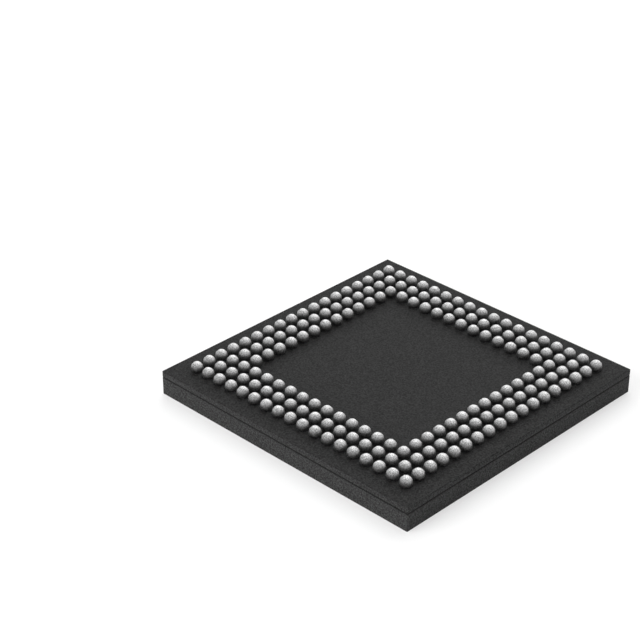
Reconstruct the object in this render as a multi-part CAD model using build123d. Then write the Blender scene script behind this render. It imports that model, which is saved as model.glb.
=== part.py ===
from build123d import *
import math
import os

# A ball-grid microcontroller package, lying on its moulded face with its solder balls up.
# Millimetres. The moulded face is the plane z = 0 and its centre is the origin.

# Solder balls: a square grid that keeps only its outer rings
ball_pitch = 0.5
balls_per_side = 18
ring_names = ("outer", "middle", "inner")
ball_diameter = 0.39
ball_sink = 0.08
ball_sides = 8
ball_band_angles = (85, 42)

# Body: from the outermost ball centres to the sawn sides
edge_margin = 0.75

# Substrate: a laminate core with a thin solder mask on each face
core_thickness = 0.17
mask_thickness = 0.025

# Silicon die and the adhesive film that holds it to the substrate
die_side = 5.0
die_thickness = 0.20
film_thickness = 0.02

# Bond wires, one row on each side of the die
wire_diameter = 0.025
wire_sides = 3
wires_per_side = 44
wire_loop_height = 0.12
wire_reach = 1.2
pad_inset = 0.08
pad_row_end_margin = 0.14
finger_row_end_margin = 0.15
wire_rows = ("front", "right", "back", "left")

# Moulding compound left between the wire loops and the moulded face
mould_cover = 0.24

# Heights, from the moulded face up to the ball side
loop_level = mould_cover
die_face_level = loop_level + wire_loop_height
film_level = die_face_level + die_thickness
seat_level = film_level + film_thickness
core_level = seat_level + mask_thickness
ball_mask_level = core_level + core_thickness
ball_face_level = ball_mask_level + mask_thickness

# Plan sizes that follow
body_side = (balls_per_side - 1) * ball_pitch + 2 * edge_margin
pad_row = die_side / 2 - pad_inset
finger_row = die_side / 2 + wire_reach
pad_row_length = die_side - 2 * pad_row_end_margin
finger_row_length = 2 * finger_row - 2 * finger_row_end_margin


def plate(side, thickness, level):
    """A square plate on the Z axis, with its lower face at the given level."""
    lower_face_down = (Align.CENTER, Align.CENTER, Align.MIN)
    return Pos(0, 0, level) * Box(side, side, thickness, align=lower_face_down)


def corner_radius(round_radius, sides):
    """The corner radius of a regular polygon with the same area as a circle."""
    return round_radius * math.sqrt(2 * math.pi / (sides * math.sin(2 * math.pi / sides)))


def solder_ball():
    """One reflowed ball: a faceted sphere, cut flat where it is soldered at z = 0."""
    radius = ball_diameter / 2
    centre_height = radius - ball_sink
    base_angle = math.degrees(math.acos(-centre_height / radius))
    sections = []
    for angle in (base_angle, *ball_band_angles):
        height = centre_height + radius * math.cos(math.radians(angle))
        band_radius = corner_radius(radius * math.sin(math.radians(angle)), ball_sides)
        band = RegularPolygon(band_radius, ball_sides, rotation=180 / ball_sides)
        sections.append(Pos(0, 0, height) * band.face())
    top = Vertex(0, 0, centre_height + radius)
    return loft([*sections, top], ruled=True)


def ball_ring(ring):
    """The balls of one square ring of the grid, counted inwards from the edge."""
    ring_reach = ((balls_per_side - 1) / 2 - ring) * ball_pitch
    ball = solder_ball()
    balls = []
    for place in GridLocations(ball_pitch, ball_pitch, balls_per_side, balls_per_side):
        reach = max(abs(place.position.X), abs(place.position.Y))
        if abs(reach - ring_reach) < ball_pitch / 2:
            balls.append(Pos(0, 0, ball_face_level) * place * ball)
    return balls


def bond_wire(along_pads, along_fingers):
    """One wire of the front row: off its die pad, over the loop and down to the substrate."""
    pad = Vector(along_pads, -pad_row, die_face_level)
    loop = Vector(along_pads, -pad_row, loop_level)
    finger = Vector(along_fingers, -finger_row, seat_level)
    past_finger = finger + (finger - loop)
    section = RegularPolygon(corner_radius(wire_diameter / 2, wire_sides), wire_sides)
    start = Plane(origin=pad, z_dir=(0, 0, -1))
    path = Polyline(pad, loop, past_finger)
    wire = sweep(start * section, path=path, transition=Transition.RIGHT)
    return split(wire, bisect_by=Plane.XY.offset(seat_level), keep=Keep.BOTTOM)


def front_wires():
    """The front row of wires, fanned out from the die pads to the substrate."""
    wires = []
    for number in range(wires_per_side):
        share = number / (wires_per_side - 1) - 0.5
        wires.append(bond_wire(share * pad_row_length, share * finger_row_length))
    return wires


def mould_cap(held_pieces):
    """The black moulding, cast round everything that stands on the substrate."""
    return plate(body_side, seat_level, 0) - held_pieces


die = plate(die_side, die_thickness, die_face_level)
film = plate(die_side, film_thickness, film_level)
pieces = {
    "silicon_die": die,
    "die_attach_film": film,
    "die_side_solder_mask": plate(body_side, mask_thickness, seat_level),
    "substrate_core": plate(body_side, core_thickness, core_level),
    "ball_side_solder_mask": plate(body_side, mask_thickness, ball_mask_level),
}

# The wire rows are quarter turns of the front one
front_row = front_wires()
all_wires = []
for quarter, row_name in enumerate(wire_rows):
    row = [Rot(0, 0, 90 * quarter) * wire for wire in front_row]
    pieces["bond_wires_" + row_name] = Compound(children=row)
    all_wires += row

pieces["mould_cap"] = mould_cap([die, film, *all_wires])

for ring, ring_name in enumerate(ring_names):
    pieces[ring_name + "_ring_balls"] = Compound(children=ball_ring(ring))

os.makedirs("parts", exist_ok=True)
for name, piece in pieces.items():
    export_step(piece, "parts/" + name + ".step")
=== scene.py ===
"""Dresses a ball-grid microcontroller package that lies on its moulded face, balls up.

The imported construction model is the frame: the layers of the body take their sides and heights from it,
and the balls their heights. All lengths are in metres, and heights are above the plane of the floor.
"""

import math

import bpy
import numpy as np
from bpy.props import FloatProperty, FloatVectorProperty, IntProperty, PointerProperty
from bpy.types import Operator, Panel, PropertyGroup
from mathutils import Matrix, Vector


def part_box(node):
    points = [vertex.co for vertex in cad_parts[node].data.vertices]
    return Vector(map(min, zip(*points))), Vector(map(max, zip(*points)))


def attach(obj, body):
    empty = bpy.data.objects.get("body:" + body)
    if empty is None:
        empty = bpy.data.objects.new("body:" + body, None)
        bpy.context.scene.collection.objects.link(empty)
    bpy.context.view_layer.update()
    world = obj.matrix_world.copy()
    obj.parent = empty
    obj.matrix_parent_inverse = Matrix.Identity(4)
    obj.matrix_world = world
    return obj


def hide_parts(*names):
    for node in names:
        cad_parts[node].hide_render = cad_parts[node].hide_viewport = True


bl_info = {
    "name": "Ball Grid Package",
    "version": (1, 0, 0),
    "blender": (4, 5, 0),
    "location": "View3D > Sidebar > Package",
    "description": "Builds the moulded body, substrate and solder balls of a ball-grid package",
    "category": "Add Mesh",
}

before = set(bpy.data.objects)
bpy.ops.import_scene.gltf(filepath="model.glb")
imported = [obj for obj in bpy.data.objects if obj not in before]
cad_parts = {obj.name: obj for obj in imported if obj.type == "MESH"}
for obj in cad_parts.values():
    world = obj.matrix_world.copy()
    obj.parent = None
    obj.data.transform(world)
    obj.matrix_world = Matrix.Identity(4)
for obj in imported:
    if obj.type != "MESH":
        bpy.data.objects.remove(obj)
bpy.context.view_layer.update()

MM = 0.001
BALL_RINGS = ("outer_ring_balls", "middle_ring_balls", "inner_ring_balls")
WIRE_ROWS = ("bond_wires_front", "bond_wires_right", "bond_wires_back", "bond_wires_left")

# Faces under this share of a plate's largest one are shaded smooth: roundings and a thin layer's sides
SMALL_FACE = 0.02

# The black plastics: width of the filler's grains, and how many grains wide a cloud is
FILLER_GRAIN = 0.048 * MM
CLOUD_SPAN = 14

# The solder's skin
SAND_GRAIN = 0.033 * MM
STREAK_WIDTH = 0.032 * MM
SKIN_RELIEF = 0.008 * MM

# Painted shade on a ball, darker towards its foot: where it is full and where it ends, as shares of the
# radius above the centre, and what it leaves of the solder's colour
PAINTED_SHADE_FOOT = 0.15
PAINTED_SHADE_SHOULDER = 0.7
PAINTED_SHADE_SHARE = 0.4

# The seed that draws each ball's own tone is this number plus the balls in its ring
TONE_SEED = 180

# The values between which most of a noise lies
NOISE_LOW = 0.3
NOISE_HIGH = 0.7

# Colours of the sealed pieces
SILICON_GREY = (0.16, 0.17, 0.19)
ADHESIVE_GREY = (0.45, 0.45, 0.41)
WIRE_GOLD = (0.9, 0.66, 0.26)

# The stage: corners of its round floor and wall, their whites and the floor's faint mottling
STAGE_SIDES = 96
PAPER_GRAIN = 2.0 * MM
WALL_WHITE = (0.9, 0.9, 0.9, 1.0)
FULL_WHITE = (1.0, 1.0, 1.0, 1.0)

# The lamps, in degrees: the angle each spans, its turn to the right of the camera's side, its height
LAMP_WIDTH = 60
BACK_LAMP_TURN = 170
BACK_LAMP_HEIGHT = 38
SIDE_LAMP_TURN = -68
SIDE_LAMP_HEIGHT = 13

# The camera: its sensor in millimetres, and the nearest that it sees
SENSOR_WIDTH = 36.0
NEAREST_SEEN = 1 * MM


def length(name, description, default):
    """A size in metres that the sidebar shows as a length."""
    return FloatProperty(name=name, description=description, default=default, min=0.0, precision=6,
                         subtype="DISTANCE", unit="LENGTH")


def share(name, description, default, largest=1.0):
    """A plain number from 0 up, such as a roughness or a strength."""
    return FloatProperty(name=name, description=description, default=default, min=0.0, max=largest)


def whole(name, description, default, least=1):
    """A number of faces or pieces."""
    return IntProperty(name=name, description=description, default=default, min=least)


def grey(name, description, level):
    """A neutral colour, given as its linear grey level."""
    return FloatVectorProperty(name=name, description=description, default=(level, level, level),
                               min=0.0, max=1.0, size=3, subtype="COLOR")


def angle(name, description, degrees):
    """An angle that the sidebar shows in degrees."""
    return FloatProperty(name=name, description=description, default=math.radians(degrees),
                         subtype="ANGLE", unit="ROTATION")


class BodySettings(PropertyGroup):
    """Sizes and colours of the moulding and the substrate."""

    corner_radius: length("Corner radius", "Rounding of the four upright corners, seen from above",
                          0.025 * MM)
    foot_edge: length("Foot edge", "Rounding of the moulding's long edges where it rests", 0.010 * MM)
    ball_side_edge: length("Ball side edge", "Rounding of the long edges round the ball side",
                           0.018 * MM)
    layer_edge: length("Layer edge", "Rounding of the long edges where two layers meet", 0.005 * MM)
    seam_depth: length("Seam depth", "How far the solder mask in the seam lies behind the sides",
                       0.008 * MM)
    # Painted shade: the moulding's and the laminate's sides are darker towards the seam, as the shade in
    # the joint
    seam_shade_down: length("Smear down", "How far the saw dragged the seam's dark mask over the moulding",
                       0.055 * MM)
    seam_shade_up: length("Smear up", "How far the seam's dark mask spreads over the laminate", 0.020 * MM)
    seam_shade_share: share("Smear shade", "What the smear leaves of a side's colour at the seam", 0.60)
    # Painted highlight: the ball side's sawn edge is lighter than its face, as if it caught the light
    edge_highlight: share("Scuff", "Colour of the ball side's sawn edge, as a share of the face's", 1.6,
                 largest=4.0)
    edge_steps: whole("Edge steps", "Faces across a rounded edge", 3)
    mould_colour: grey("Mould colour", "Black moulding compound", 0.0385)
    core_colour: grey("Core colour", "Sawn edge of the laminate", 0.0345)
    mask_colour: grey("Mask colour", "Black solder mask on the ball side", 0.0222)
    seam_colour: grey("Seam colour", "Solder mask that shows as the seam", 0.010)


class BallSettings(PropertyGroup):
    """Sizes and finish of the solder balls."""

    pitch: length("Pitch", "Distance between neighbouring ball centres", 0.5 * MM)
    per_side: whole("Balls a side", "Balls along one side of the outer ring", 18)
    diameter: length("Diameter", "Diameter of one ball", 0.39 * MM)
    segments: whole("Segments", "Faces round a ball", 14, least=6)
    bands: whole("Bands", "Faces from a ball's top to its seat", 4, least=3)
    colour: grey("Solder colour", "Satin grey of the solder", 0.635)
    roughness: share("Roughness", "Roughness of the solder", 0.60)


class StageSettings(PropertyGroup):
    """Floor, wall, sky, lamps and camera."""

    floor_colour: grey("Floor colour", "Plain pale floor", 0.955)
    floor_glow: share("Floor glow", "Share of plain white in the floor as seen, which pales its shadow",
                      0.5)
    floor_radius: length("Floor radius", "Radius of the round floor", 450 * MM)
    wall_foot: length("Wall foot", "Width of the wall's flat foot, which goes on from the floor",
                      150 * MM)
    wall_height: length("Wall height", "Height of the white wall round the floor", 130 * MM)
    sky_level: share("Sky level", "Mean strength of the sky along the horizon", 0.09, largest=4.0)
    sky_lowest: share("Sky lowest", "Least strength of the sky", 0.06, largest=4.0)
    sky_slope: share("Sky slope", "What the sky gains straight behind the package", 0.30, largest=4.0)
    sky_right: share("Sky right", "What the sky gains straight to the right", 0.10, largest=4.0)
    sky_rise: share("Sky rise", "What the sky gains straight overhead", 0.82, largest=4.0)
    back_lamp: share("Back lamp", "Light from above and behind, as a share of the full level", 0.45,
                     largest=4.0)
    side_lamp: share("Side lamp", "Light from the left, as a share of the full level", 1.38, largest=4.0)
    camera_place: FloatVectorProperty(name="Camera place", description="Where the camera stands", size=3,
                                      default=(31.749 * MM, -35.482 * MM, 30.130 * MM), precision=6,
                                      subtype="TRANSLATION", unit="LENGTH")
    camera_turn: angle("Camera turn", "Direction of view, round from +Y", 44.602)
    camera_dip: angle("Camera dip", "How far the view looks down", 30.116)
    camera_lens: FloatProperty(name="Lens", description="Focal length in millimetres on a 36 mm sensor",
                               default=104.154)


class PackageSettings(PropertyGroup):
    """Everything that the sidebar offers."""

    body: PointerProperty(type=BodySettings)
    balls: PointerProperty(type=BallSettings)
    stage: PointerProperty(type=StageSettings)


def edge_profile(low, high, low_radius, high_radius, steps):
    """The edge of a plate from its lower face to its upper face, as insets and heights.

    They are two quarter circles, with turns t from 0 to a right angle. The first has the low radius: it
    is inset by that radius times (1 - sin t), and lies above the lower face by it times (1 - cos t). The
    second has the high radius: it is inset by that radius times (1 - cos t), and lies below the upper
    face by it times (1 - sin t).
    """
    turn = np.linspace(0, np.pi / 2, steps + 1)
    falling = 1 - np.sin(turn)
    rising = 1 - np.cos(turn)
    insets = np.concatenate([low_radius * falling, high_radius * rising])
    heights = np.concatenate([low + low_radius * rising, high - high_radius * falling])
    return insets, heights


def plate_points(half_side, corner_radius, insets, heights, corner_steps):
    """A square plate's skin: the edge profile carried round a square with rounded corners.

    At turn a the corner's centre lies in the quarter that a points to, half the side less the corner
    radius out each way. The point is that centre plus the direction (cos a, sin a) times the corner
    radius less the profile's inset, at the profile's height.
    """
    quarter = np.linspace(0, np.pi / 2, corner_steps + 1)
    turns = (np.arange(4)[:, None] * np.pi / 2 + quarter).ravel()
    corners = np.repeat(np.arange(4), corner_steps + 1) * np.pi / 2 + np.pi / 4
    reach = (half_side - corner_radius) * math.sqrt(2)
    spread = corner_radius - insets[:, None]
    points = np.empty((len(insets), len(turns), 3))
    points[..., 0] = reach * np.cos(corners) + spread * np.cos(turns)
    points[..., 1] = reach * np.sin(corners) + spread * np.sin(turns)
    points[..., 2] = heights[:, None]
    return points


def wrapped_quads(rows, columns):
    """Faces of a grid whose last column joins its first, which look outwards where its rows run up."""
    index = np.arange(rows * columns).reshape(rows, columns)
    following = np.roll(index, -1, axis=1)
    return np.stack([index[:-1], following[:-1], following[1:], index[1:]], axis=-1).reshape(-1, 4)


def plate_mesh(name, points):
    """A closed mesh from a plate's skin, with one flat face below and one above."""
    rows, columns, _ = points.shape
    lower = np.arange(columns)[::-1]
    upper = np.arange(columns) + (rows - 1) * columns
    faces = wrapped_quads(rows, columns).tolist() + [lower.tolist(), upper.tolist()]
    mesh = bpy.data.meshes.new(name)
    mesh.from_pydata(points.reshape(-1, 3).tolist(), [], faces)
    sizes = np.empty(len(mesh.polygons))
    mesh.polygons.foreach_get("area", sizes)
    mesh.polygons.foreach_set("use_smooth", sizes < sizes.max() * SMALL_FACE)
    mesh.update()
    return mesh


def ball_points(radius, base_height, segments, bands):
    """One ball about its own centre: first its top, then the bands down to the flat seat.

    At a polar angle t from the top and a turn a round the ball, the point is the radius times
    (sin t cos a, sin t sin a, cos t). The last t is where the height is the seat's.
    """
    polar = np.linspace(0, math.acos(base_height / radius), bands + 1)[1:, None]
    turn = np.arange(segments) * 2 * np.pi / segments
    rows = np.stack([np.sin(polar) * np.cos(turn), np.sin(polar) * np.sin(turn),
                     np.broadcast_to(np.cos(polar), (bands, segments))], axis=-1)
    return radius * np.concatenate([[[0.0, 0.0, 1.0]], rows.reshape(-1, 3)])


def ring_centres(pitch, per_side, ring):
    """Ball centres of one square ring: the grid's points whose larger coordinate is the ring's reach."""
    line = (np.arange(per_side) - (per_side - 1) / 2) * pitch
    x, y = np.meshgrid(line, line)
    reach = ((per_side - 1) / 2 - ring) * pitch
    on_ring = np.isclose(np.maximum(np.abs(x), np.abs(y)), reach)
    return np.stack([x[on_ring], y[on_ring]], axis=-1)


def balls_mesh(name, ball, centres, segments):
    """All the balls of a ring in one mesh: the same ball moved to each centre, with its true normals.

    Each ball also gets a tone of its own from 0 to 1, in an attribute that the solder reads.
    """
    count = len(centres)
    per_ball = len(ball)
    first = np.arange(count)[:, None, None] * per_ball
    rim = 1 + np.arange(segments)
    fan = np.stack([np.zeros(segments, int), rim, np.roll(rim, -1)], axis=-1)
    bands = (per_ball - 1) // segments
    quads = 1 + wrapped_quads(bands, segments)[:, ::-1]
    seat = rim[::-1] + (bands - 1) * segments
    faces = []
    for part in (fan, quads, seat[None]):
        faces += (first + part).reshape(-1, part.shape[1]).tolist()
    points = (centres[:, None] + ball).reshape(-1, 3)
    mesh = bpy.data.meshes.new(name)
    mesh.from_pydata(points.tolist(), [], faces)
    mesh.polygons.foreach_set("use_smooth", np.ones(len(mesh.polygons), bool))
    directions = ball / np.linalg.norm(ball[0])
    mesh.normals_split_custom_set_from_vertices(np.tile(directions, (count, 1)).tolist())
    tone = mesh.attributes.new("tone", "FLOAT", "POINT")
    seeded = np.random.default_rng(TONE_SEED + count)
    tone.data.foreach_set("value", np.repeat(seeded.random(count), per_ball))
    mesh.update()
    return mesh


def add_piece(name, mesh, material, node):
    """Puts a finished mesh into the scene, with its material, in place of the model's node."""
    piece = bpy.data.objects.new(name, mesh)
    bpy.context.scene.collection.objects.link(piece)
    mesh.materials.append(material)
    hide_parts(node)
    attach(piece, "root")


def add_layer(name, node, lower_edge, upper_edge, material, set_back=0.0):
    """One square layer of the body in place of its node, with its lower and upper edges rounded.

    The set-back is how far its sides lie behind the body's.
    """
    body = bpy.context.scene.package.body
    low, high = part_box(node)
    insets, heights = edge_profile(low.z, high.z, lower_edge, upper_edge, body.edge_steps)
    points = plate_points(high.x - set_back, body.corner_radius, insets, heights, body.edge_steps)
    add_piece(name, plate_mesh(name, points), material, node)


def new_material(name):
    """A new node material, with its nodes, its links and its principled shader."""
    material = bpy.data.materials.new(name)
    material.use_nodes = True
    nodes = material.node_tree.nodes
    links = material.node_tree.links
    return material, nodes, links, nodes["Principled BSDF"]


def object_noise(nodes, links, size, detail=2.0, scale=(1, 1, 1)):
    """Noise in the object's own coordinates, whose grains are about the given size across.

    A scale under 1 draws the grains out along that axis.
    """
    coordinates = nodes.new("ShaderNodeTexCoord")
    mapping = nodes.new("ShaderNodeMapping")
    mapping.inputs["Scale"].default_value = scale
    noise = nodes.new("ShaderNodeTexNoise")
    noise.inputs["Scale"].default_value = 1 / size
    noise.inputs["Detail"].default_value = detail
    links.new(coordinates.outputs["Object"], mapping.inputs["Vector"])
    links.new(mapping.outputs["Vector"], noise.inputs["Vector"])
    return noise.outputs["Fac"]


def varied(nodes, links, value, middle, swing, lowest=NOISE_LOW, highest=NOISE_HIGH):
    """A value from lowest to highest, mapped to run from a swing under the middle to a swing over it."""
    ranged = nodes.new("ShaderNodeMapRange")
    ranged.inputs["From Min"].default_value = lowest
    ranged.inputs["From Max"].default_value = highest
    ranged.inputs["To Min"].default_value = middle - swing
    ranged.inputs["To Max"].default_value = middle + swing
    links.new(value, ranged.inputs["Value"])
    return ranged.outputs["Result"]


def multiplied(nodes, links, one, other):
    """The product of two values."""
    product = nodes.new("ShaderNodeMath")
    product.operation = "MULTIPLY"
    links.new(one, product.inputs[0])
    links.new(other, product.inputs[1])
    return product.outputs["Value"]


def tinted(nodes, links, colour, factor):
    """A colour times a factor that varies over the surface."""
    mix = nodes.new("ShaderNodeVectorMath")
    mix.operation = "SCALE"
    mix.inputs[0].default_value = tuple(colour)
    links.new(factor, mix.inputs["Scale"])
    return mix.outputs["Vector"]


def bump(nodes, links, height, distance, strength, under=None):
    """A bump of the given height in metres, laid over another one if there is one."""
    relief = nodes.new("ShaderNodeBump")
    relief.inputs["Distance"].default_value = distance
    relief.inputs["Strength"].default_value = strength
    links.new(height, relief.inputs["Height"])
    if under is not None:
        links.new(under, relief.inputs["Normal"])
    return relief.outputs["Normal"]


def height_share(nodes, links, first_share, first, last):
    """A share that runs smoothly from the first one, at the first height, to 1 at the last height."""
    place = nodes.new("ShaderNodeTexCoord")
    height = nodes.new("ShaderNodeSeparateXYZ")
    ramp = nodes.new("ShaderNodeMapRange")
    ramp.interpolation_type = "SMOOTHSTEP"
    ramp.inputs["From Min"].default_value = first
    ramp.inputs["From Max"].default_value = last
    ramp.inputs["To Min"].default_value = first_share
    links.new(place.outputs["Object"], height.inputs["Vector"])
    links.new(height.outputs["Z"], ramp.inputs["Value"])
    return ramp.outputs["Result"]


def grained_plastic(name, colour, roughness, relief, gloss, grain=FILLER_GRAIN, fade=None):
    """Filled plastic: fine grains of filler, a faint cloudiness and a low, broken relief.

    A fade is a share of the colour, the height where it holds, and the height where the colour is whole;
    it paints shade or a highlight by height.
    """
    material, nodes, links, shader = new_material(name)
    fine = object_noise(nodes, links, grain, detail=1.0)
    cloud = object_noise(nodes, links, grain * CLOUD_SPAN, detail=3.0)
    grains = varied(nodes, links, fine, 1.0, swing=0.62)
    clouds = varied(nodes, links, cloud, 1.0, swing=0.04)
    shade = multiplied(nodes, links, grains, clouds)
    if fade is not None:
        shade = multiplied(nodes, links, shade, height_share(nodes, links, *fade))
    links.new(tinted(nodes, links, colour, shade), shader.inputs["Base Color"])
    links.new(varied(nodes, links, fine, roughness, swing=0.06), shader.inputs["Roughness"])
    links.new(bump(nodes, links, fine, relief, strength=0.6), shader.inputs["Normal"])
    shader.inputs["Specular IOR Level"].default_value = gloss
    return material


def satin_solder(settings, foot, shoulder):
    """Reflowed solder: satin grey metal with a sandy skin, faint upright streaks and small differences.

    Painted shade darkens it from the height of the shoulder down to the height of the foot.
    """
    material, nodes, links, shader = new_material("satin_solder")
    sand = object_noise(nodes, links, SAND_GRAIN, detail=2.0)
    streaks = object_noise(nodes, links, STREAK_WIDTH, detail=1.0, scale=(1, 1, 0.2))
    tone = nodes.new("ShaderNodeAttribute")
    tone.attribute_name = "tone"
    per_ball = varied(nodes, links, tone.outputs["Fac"], 1.0, swing=0.02, lowest=0.0, highest=1.0)
    shade = multiplied(nodes, links, varied(nodes, links, sand, 1.0, swing=0.50), per_ball)
    shade = multiplied(nodes, links, shade, height_share(nodes, links, PAINTED_SHADE_SHARE, foot, shoulder))
    links.new(tinted(nodes, links, settings.colour, shade), shader.inputs["Base Color"])
    links.new(varied(nodes, links, sand, settings.roughness, swing=0.05), shader.inputs["Roughness"])
    streaked = bump(nodes, links, streaks, SKIN_RELIEF, strength=0.6)
    skin = bump(nodes, links, sand, SKIN_RELIEF, strength=0.7, under=streaked)
    links.new(skin, shader.inputs["Normal"])
    shader.inputs["Metallic"].default_value = 1.0
    return material


def smooth_metal(name, colour, patch, detail, swing, metallic, roughness):
    """A smooth metal or crystal whose colour varies a little from patch to patch."""
    material, nodes, links, shader = new_material(name)
    patches = object_noise(nodes, links, patch, detail)
    shade = varied(nodes, links, patches, 1.0, swing)
    links.new(tinted(nodes, links, colour, shade), shader.inputs["Base Color"])
    shader.inputs["Metallic"].default_value = metallic
    shader.inputs["Roughness"].default_value = roughness
    return material


class PACKAGE_OT_moulding(Operator):
    """Builds the black moulding as a block with finely rounded sawn edges"""

    bl_idname = "package.moulding"
    bl_label = "Moulding"

    def execute(self, context):
        body = context.scene.package.body
        seam_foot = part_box("mould_cap")[1].z
        # Painted shade on the moulding's sides, darkest at the seam
        seam_shade = (body.seam_shade_share, seam_foot, seam_foot - body.seam_shade_down)
        compound = grained_plastic("mould_compound", body.mould_colour, roughness=0.72, relief=0.004 * MM,
                                   gloss=0.08, fade=seam_shade)
        add_layer("moulding", "mould_cap", body.foot_edge, body.layer_edge, compound)
        return {"FINISHED"}


class PACKAGE_OT_substrate(Operator):
    """Builds the laminate and its two coats of solder mask, with the seam above the moulding"""

    bl_idname = "package.substrate"
    bl_label = "Substrate"

    def execute(self, context):
        body = context.scene.package.body
        seam_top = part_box("substrate_core")[0].z
        mask_low, mask_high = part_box("ball_side_solder_mask")
        # Painted shade on the laminate's sides, darkest at the seam
        seam_shade = (body.seam_shade_share, seam_top, seam_top + body.seam_shade_up)
        # Painted highlight on the ball side's sawn edge, lightest at its foot
        painted_edge_highlight = (body.edge_highlight, mask_low.z, mask_high.z)
        seam = grained_plastic("seam_mask", body.seam_colour, roughness=0.80, relief=0.003 * MM,
                               gloss=0.04)
        core = grained_plastic("laminate", body.core_colour, roughness=0.74, relief=0.004 * MM,
                               gloss=0.08, fade=seam_shade)
        mask = grained_plastic("solder_mask", body.mask_colour, roughness=0.66, relief=0.004 * MM,
                               gloss=0.06, fade=painted_edge_highlight)
        add_layer("die_side_solder_mask_layer", "die_side_solder_mask", body.layer_edge, body.layer_edge,
                  seam, set_back=body.seam_depth)
        add_layer("substrate_core_layer", "substrate_core", body.layer_edge, body.layer_edge,
                  core)
        add_layer("ball_side_solder_mask_layer", "ball_side_solder_mask", body.layer_edge,
                  body.ball_side_edge, mask)
        return {"FINISHED"}


class PACKAGE_OT_solder_balls(Operator):
    """Builds the three square rings of round solder balls, each flattened where it is soldered down"""

    bl_idname = "package.solder_balls"
    bl_label = "Solder Balls"

    def execute(self, context):
        balls = context.scene.package.balls
        radius = balls.diameter / 2
        low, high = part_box(BALL_RINGS[0])
        centre_height = high.z - radius
        # Painted shade: the solder is darker from the shoulder down to the foot, where its own shade
        # falls
        shade_foot = centre_height + PAINTED_SHADE_FOOT * radius
        shade_shoulder = centre_height + PAINTED_SHADE_SHOULDER * radius
        solder = satin_solder(balls, shade_foot, shade_shoulder)
        ball = ball_points(radius, low.z - centre_height, balls.segments, balls.bands)
        for ring, node in enumerate(BALL_RINGS):
            plan = ring_centres(balls.pitch, balls.per_side, ring)
            centres = np.column_stack([plan, np.full(len(plan), centre_height)])
            name = node + "_round"
            add_piece(name, balls_mesh(name, ball, centres, balls.segments), solder, node)
        return {"FINISHED"}


class PACKAGE_OT_inner_pieces(Operator):
    """Gives the sealed die, its film and its bond wires their materials"""

    bl_idname = "package.inner_pieces"
    bl_label = "Inner Pieces"

    def dress(self, node, material):
        """Puts the material on every slot of a node's object."""
        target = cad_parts[node]
        if not target.material_slots:
            raise RuntimeError(node + " has no material slot")
        for slot in target.material_slots:
            slot.material = material

    def execute(self, context):
        silicon = smooth_metal("silicon", SILICON_GREY, patch=0.3 * MM, detail=4.0, swing=0.2,
                               metallic=0.6, roughness=0.2)
        adhesive = grained_plastic("adhesive_film", ADHESIVE_GREY, roughness=0.6, relief=0.002 * MM,
                                   gloss=0.4, grain=0.05 * MM)
        gold = smooth_metal("bond_wire_gold", WIRE_GOLD, patch=0.02 * MM, detail=1.0, swing=0.06,
                            metallic=1.0, roughness=0.25)
        self.dress("silicon_die", silicon)
        self.dress("die_attach_film", adhesive)
        for node in WIRE_ROWS:
            self.dress(node, gold)
        return {"FINISHED"}


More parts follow.
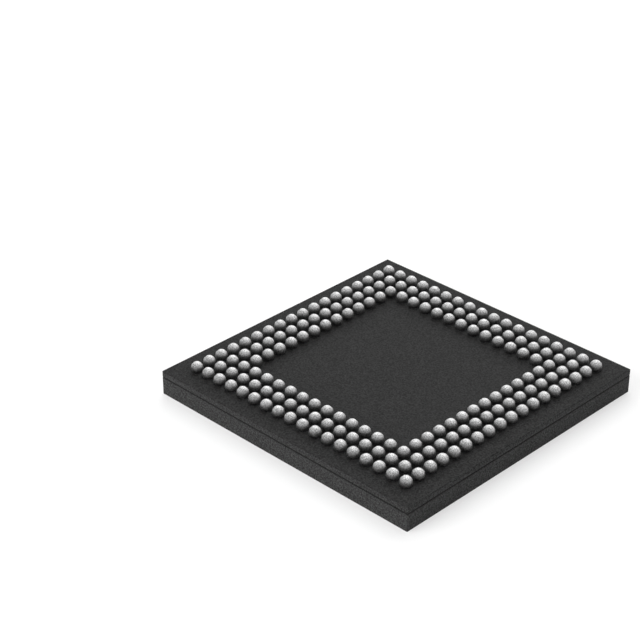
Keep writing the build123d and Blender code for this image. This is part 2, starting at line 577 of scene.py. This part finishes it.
class PACKAGE_OT_stage(Operator):
    """Sets up the floor, the white wall round it, the sky, the soft lamps and the camera"""

    bl_idname = "package.stage"
    bl_label = "Stage"

    def show(self, name, mesh, material):
        """Adds a piece of the stage."""
        mesh.materials.append(material)
        piece = bpy.data.objects.new(name, mesh)
        bpy.context.scene.collection.objects.link(piece)

    def circle(self, radius):
        """A circle at height 0: at each turn a the point is the radius times (cos a, sin a, 0)."""
        turn = np.arange(STAGE_SIDES) * 2 * np.pi / STAGE_SIDES
        return radius * np.stack([np.cos(turn), np.sin(turn), 0 * turn], axis=-1)

    def whiten(self, material, amount):
        """Mixes an amount of white into a material, for the camera, reflections and clear pieces."""
        nodes = material.node_tree.nodes
        links = material.node_tree.links
        path = nodes.new("ShaderNodeLightPath")
        seen = path.outputs["Is Camera Ray"]
        for kind in ("Is Glossy Ray", "Is Transmission Ray"):
            either = nodes.new("ShaderNodeMath")
            either.operation = "MAXIMUM"
            links.new(seen, either.inputs[0])
            links.new(path.outputs[kind], either.inputs[1])
            seen = either.outputs["Value"]
        part = nodes.new("ShaderNodeMath")
        part.operation = "MULTIPLY"
        part.inputs[1].default_value = amount
        links.new(seen, part.inputs[0])
        glow = nodes.new("ShaderNodeEmission")
        glow.inputs["Color"].default_value = FULL_WHITE
        mix = nodes.new("ShaderNodeMixShader")
        links.new(part.outputs["Value"], mix.inputs["Fac"])
        links.new(nodes["Principled BSDF"].outputs["BSDF"], mix.inputs[1])
        links.new(glow.outputs["Emission"], mix.inputs[2])
        links.new(mix.outputs["Shader"], nodes["Material Output"].inputs["Surface"])

    def floor(self, stage):
        """A round pale floor at the height that the moulding rests on."""
        mesh = bpy.data.meshes.new("floor")
        mesh.from_pydata(self.circle(stage.floor_radius).tolist(), [], [list(range(STAGE_SIDES))])
        material, nodes, links, shader = new_material("pale_floor")
        paper = varied(nodes, links, object_noise(nodes, links, PAPER_GRAIN), 1.0, swing=0.001)
        links.new(tinted(nodes, links, stage.floor_colour, paper), shader.inputs["Base Color"])
        shader.inputs["Roughness"].default_value = 1.0
        shader.inputs["Specular IOR Level"].default_value = 0.0
        self.whiten(material, stage.floor_glow)
        self.show("floor", mesh, material)

    def wall(self, stage):
        """A low wall round the floor: a circle carried outwards over its foot and then straight up.

        It is white to the camera and in reflections, so that the floor meets a white background.
        """
        outer = self.circle(stage.floor_radius + stage.wall_foot)
        rows = [self.circle(stage.floor_radius), outer, outer + (0, 0, stage.wall_height)]
        quads = wrapped_quads(len(rows), STAGE_SIDES)[:, ::-1]
        mesh = bpy.data.meshes.new("wall")
        mesh.from_pydata(np.concatenate(rows).tolist(), [], quads.tolist())
        material, _, _, shader = new_material("white_wall")
        shader.inputs["Base Color"].default_value = WALL_WHITE
        self.whiten(material, 1.0)
        self.show("wall", mesh, material)

    def sky(self, stage):
        """Soft light from all round, strongest above, behind and a little to the right.

        In a unit direction d its strength is the level, plus d's part toward behind times the slope, plus
        its part to the right times the right's gain, plus its part upwards times the rise, and never less
        than the lowest.
        """
        world = bpy.data.worlds.new("studio")
        bpy.context.scene.world = world
        world.use_nodes = True
        nodes = world.node_tree.nodes
        links = world.node_tree.links
        direction = nodes.new("ShaderNodeTexCoord")
        slope = nodes.new("ShaderNodeVectorMath")
        slope.operation = "DOT_PRODUCT"
        behind = Vector((-math.sin(stage.camera_turn), math.cos(stage.camera_turn), 0.0))
        right = Vector((math.cos(stage.camera_turn), math.sin(stage.camera_turn), 0.0))
        up = Vector((0.0, 0.0, 1.0))
        slope.inputs[1].default_value = (behind * stage.sky_slope + right * stage.sky_right
                                         + up * stage.sky_rise)
        links.new(direction.outputs["Generated"], slope.inputs[0])
        strength = nodes.new("ShaderNodeMath")
        strength.operation = "ADD"
        strength.inputs[1].default_value = stage.sky_level
        links.new(slope.outputs["Value"], strength.inputs[0])
        floored = nodes.new("ShaderNodeMath")
        floored.operation = "MAXIMUM"
        floored.inputs[1].default_value = stage.sky_lowest
        links.new(strength.outputs["Value"], floored.inputs[0])
        background = nodes["Background"]
        background.inputs["Color"].default_value = FULL_WHITE
        links.new(floored.outputs["Value"], background.inputs["Strength"])

    def lamp(self, stage, name, strength, turn, height):
        """A distant soft lamp, from a turn to the right of the camera's side and a height, in degrees.

        At strength 1, the full level, it alone makes a white surface that faces it about fully white.
        """
        light = bpy.data.lights.new(name, "SUN")
        light.energy = strength * math.pi
        light.angle = math.radians(LAMP_WIDTH)
        lamp = bpy.data.objects.new(name, light)
        lamp.rotation_euler = (math.radians(90 - height), 0.0, stage.camera_turn + math.radians(turn))
        bpy.context.scene.collection.objects.link(lamp)
        return lamp

    def camera(self, stage):
        """The camera, upright, with its view turned round from +Y and dipped below the horizon.

        It sees as far as the stage is wide.
        """
        lens = bpy.data.cameras.new("camera")
        lens.sensor_width = SENSOR_WIDTH
        lens.lens = stage.camera_lens
        lens.clip_start = NEAREST_SEEN
        lens.clip_end = 2 * (stage.floor_radius + stage.wall_foot)
        camera = bpy.data.objects.new("camera", lens)
        camera.location = stage.camera_place
        camera.rotation_euler = (math.pi / 2 - stage.camera_dip, 0.0, stage.camera_turn)
        bpy.context.scene.collection.objects.link(camera)
        bpy.context.scene.camera = camera

    def execute(self, context):
        stage = context.scene.package.stage
        self.floor(stage)
        self.wall(stage)
        self.sky(stage)
        self.lamp(stage, "back_lamp", stage.back_lamp, BACK_LAMP_TURN, BACK_LAMP_HEIGHT)
        side = self.lamp(stage, "side_lamp", stage.side_lamp, SIDE_LAMP_TURN, SIDE_LAMP_HEIGHT)
        side.visible_glossy = False
        self.camera(stage)
        context.scene.view_settings.view_transform = "Standard"
        return {"FINISHED"}


class PACKAGE_PT_sidebar(Panel):
    """Lists the settings, and a button for each piece and the stage"""

    bl_idname = "PACKAGE_PT_sidebar"
    bl_label = "Ball Grid Package"
    bl_space_type = "VIEW_3D"
    bl_region_type = "UI"
    bl_category = "Package"

    def draw(self, context):
        package = context.scene.package
        for settings in (package.body, package.balls, package.stage):
            box = self.layout.box()
            for name in settings.__annotations__:
                box.prop(settings, name)
        for operator in OPERATORS:
            self.layout.operator(operator.bl_idname)


SETTINGS = (BodySettings, BallSettings, StageSettings, PackageSettings)
OPERATORS = (PACKAGE_OT_moulding, PACKAGE_OT_substrate, PACKAGE_OT_solder_balls, PACKAGE_OT_inner_pieces,
             PACKAGE_OT_stage)


def register():
    for item in (*SETTINGS, *OPERATORS, PACKAGE_PT_sidebar):
        bpy.utils.register_class(item)
    bpy.types.Scene.package = PointerProperty(type=PackageSettings)


def unregister():
    del bpy.types.Scene.package
    for item in reversed((*SETTINGS, *OPERATORS, PACKAGE_PT_sidebar)):
        bpy.utils.unregister_class(item)


def main():
    """Builds every piece in order."""
    register()
    bpy.ops.package.moulding()
    bpy.ops.package.substrate()
    bpy.ops.package.solder_balls()
    bpy.ops.package.inner_pieces()
    bpy.ops.package.stage()


if __name__ == "__main__":
    main()
